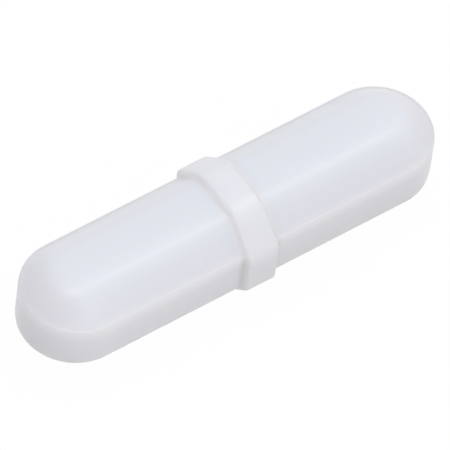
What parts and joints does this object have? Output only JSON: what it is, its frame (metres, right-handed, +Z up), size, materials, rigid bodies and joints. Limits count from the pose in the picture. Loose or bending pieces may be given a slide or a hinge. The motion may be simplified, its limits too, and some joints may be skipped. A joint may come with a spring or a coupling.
{
  "type": "magnetic stir bar",
  "caption": "Long white stir bar of eight-sided section with softly rounded bends, round ends, a stepped upright band and a narrow pivot ring round its middle; a sealed magnet rod lies inside the moulded jacket.",
  "frame": {"origin": "point on the standing surface under the middle of the bar, where the flat crown of the pivot ring rests", "axes": "+X along the bar from end to end, +Y across its width, +Z up from the standing surface through the crown"},
  "size_m": [0.0496, 0.0136, 0.0131],
  "materials": {
    "jacket_ptfe": "satin, slightly translucent moulded fluoropolymer",
    "magnet_metal": "as-ground cast magnet alloy"
  },
  "bodies": {
    "root": {"jacket": "jacket_ptfe", "magnet": "magnet_metal"}
  },
  "joints": []
}
